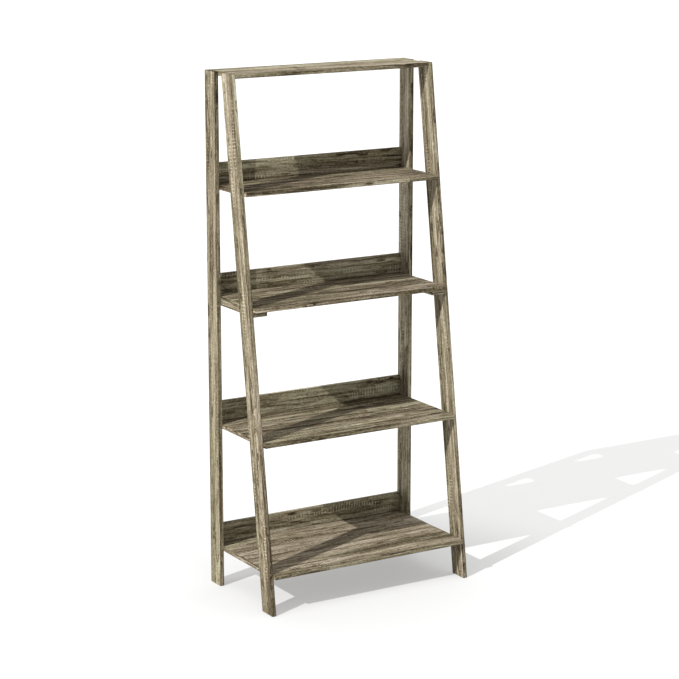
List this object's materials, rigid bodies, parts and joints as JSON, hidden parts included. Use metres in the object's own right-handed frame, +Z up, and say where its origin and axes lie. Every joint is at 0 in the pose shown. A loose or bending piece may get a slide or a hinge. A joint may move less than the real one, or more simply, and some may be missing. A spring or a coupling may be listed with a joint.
{
  "type": "ladder shelf",
  "caption": "Free-standing open ladder shelf: upright posts and slanted front legs carry a narrow top board and shelves that deepen towards the floor, each with a low back lip.",
  "frame": {"origin": "on the floor, under the middle of the whole object", "axes": "+X to the right as seen from the front, +Y to the back and the wall, +Z up"},
  "size_m": [0.611, 0.338, 1.388],
  "materials": {
    "oak_laminate_vertical": "satin greyish oak-look laminate, grain along the posts and legs",
    "oak_laminate_level": "satin greyish oak-look laminate, grain along the shelves and lips",
    "zinc_cam": "die-cast zinc",
    "zinc_plated_steel": "zinc-plated steel",
    "beech_dowel": "plain beech"
  },
  "bodies": {
    "root": {"post_left": "oak_laminate_vertical", "post_right": "oak_laminate_vertical", "leg_left": "oak_laminate_vertical", "leg_right": "oak_laminate_vertical", "top_board": "oak_laminate_level", "shelf_upper": "oak_laminate_level", "shelf_middle": "oak_laminate_level", "shelf_lower": "oak_laminate_level", "shelf_bottom": "oak_laminate_level", "back_lip_upper": "oak_laminate_level", "back_lip_middle": "oak_laminate_level", "back_lip_lower": "oak_laminate_level", "back_lip_bottom": "oak_laminate_level", "cleat_left": "oak_laminate_level", "cleat_right": "oak_laminate_level", "cam_locks": "zinc_cam", "cam_bolts": "zinc_plated_steel", "lip_screws": "zinc_plated_steel", "cleat_screws": "zinc_plated_steel", "dowels": "beech_dowel"}
  },
  "joints": []
}
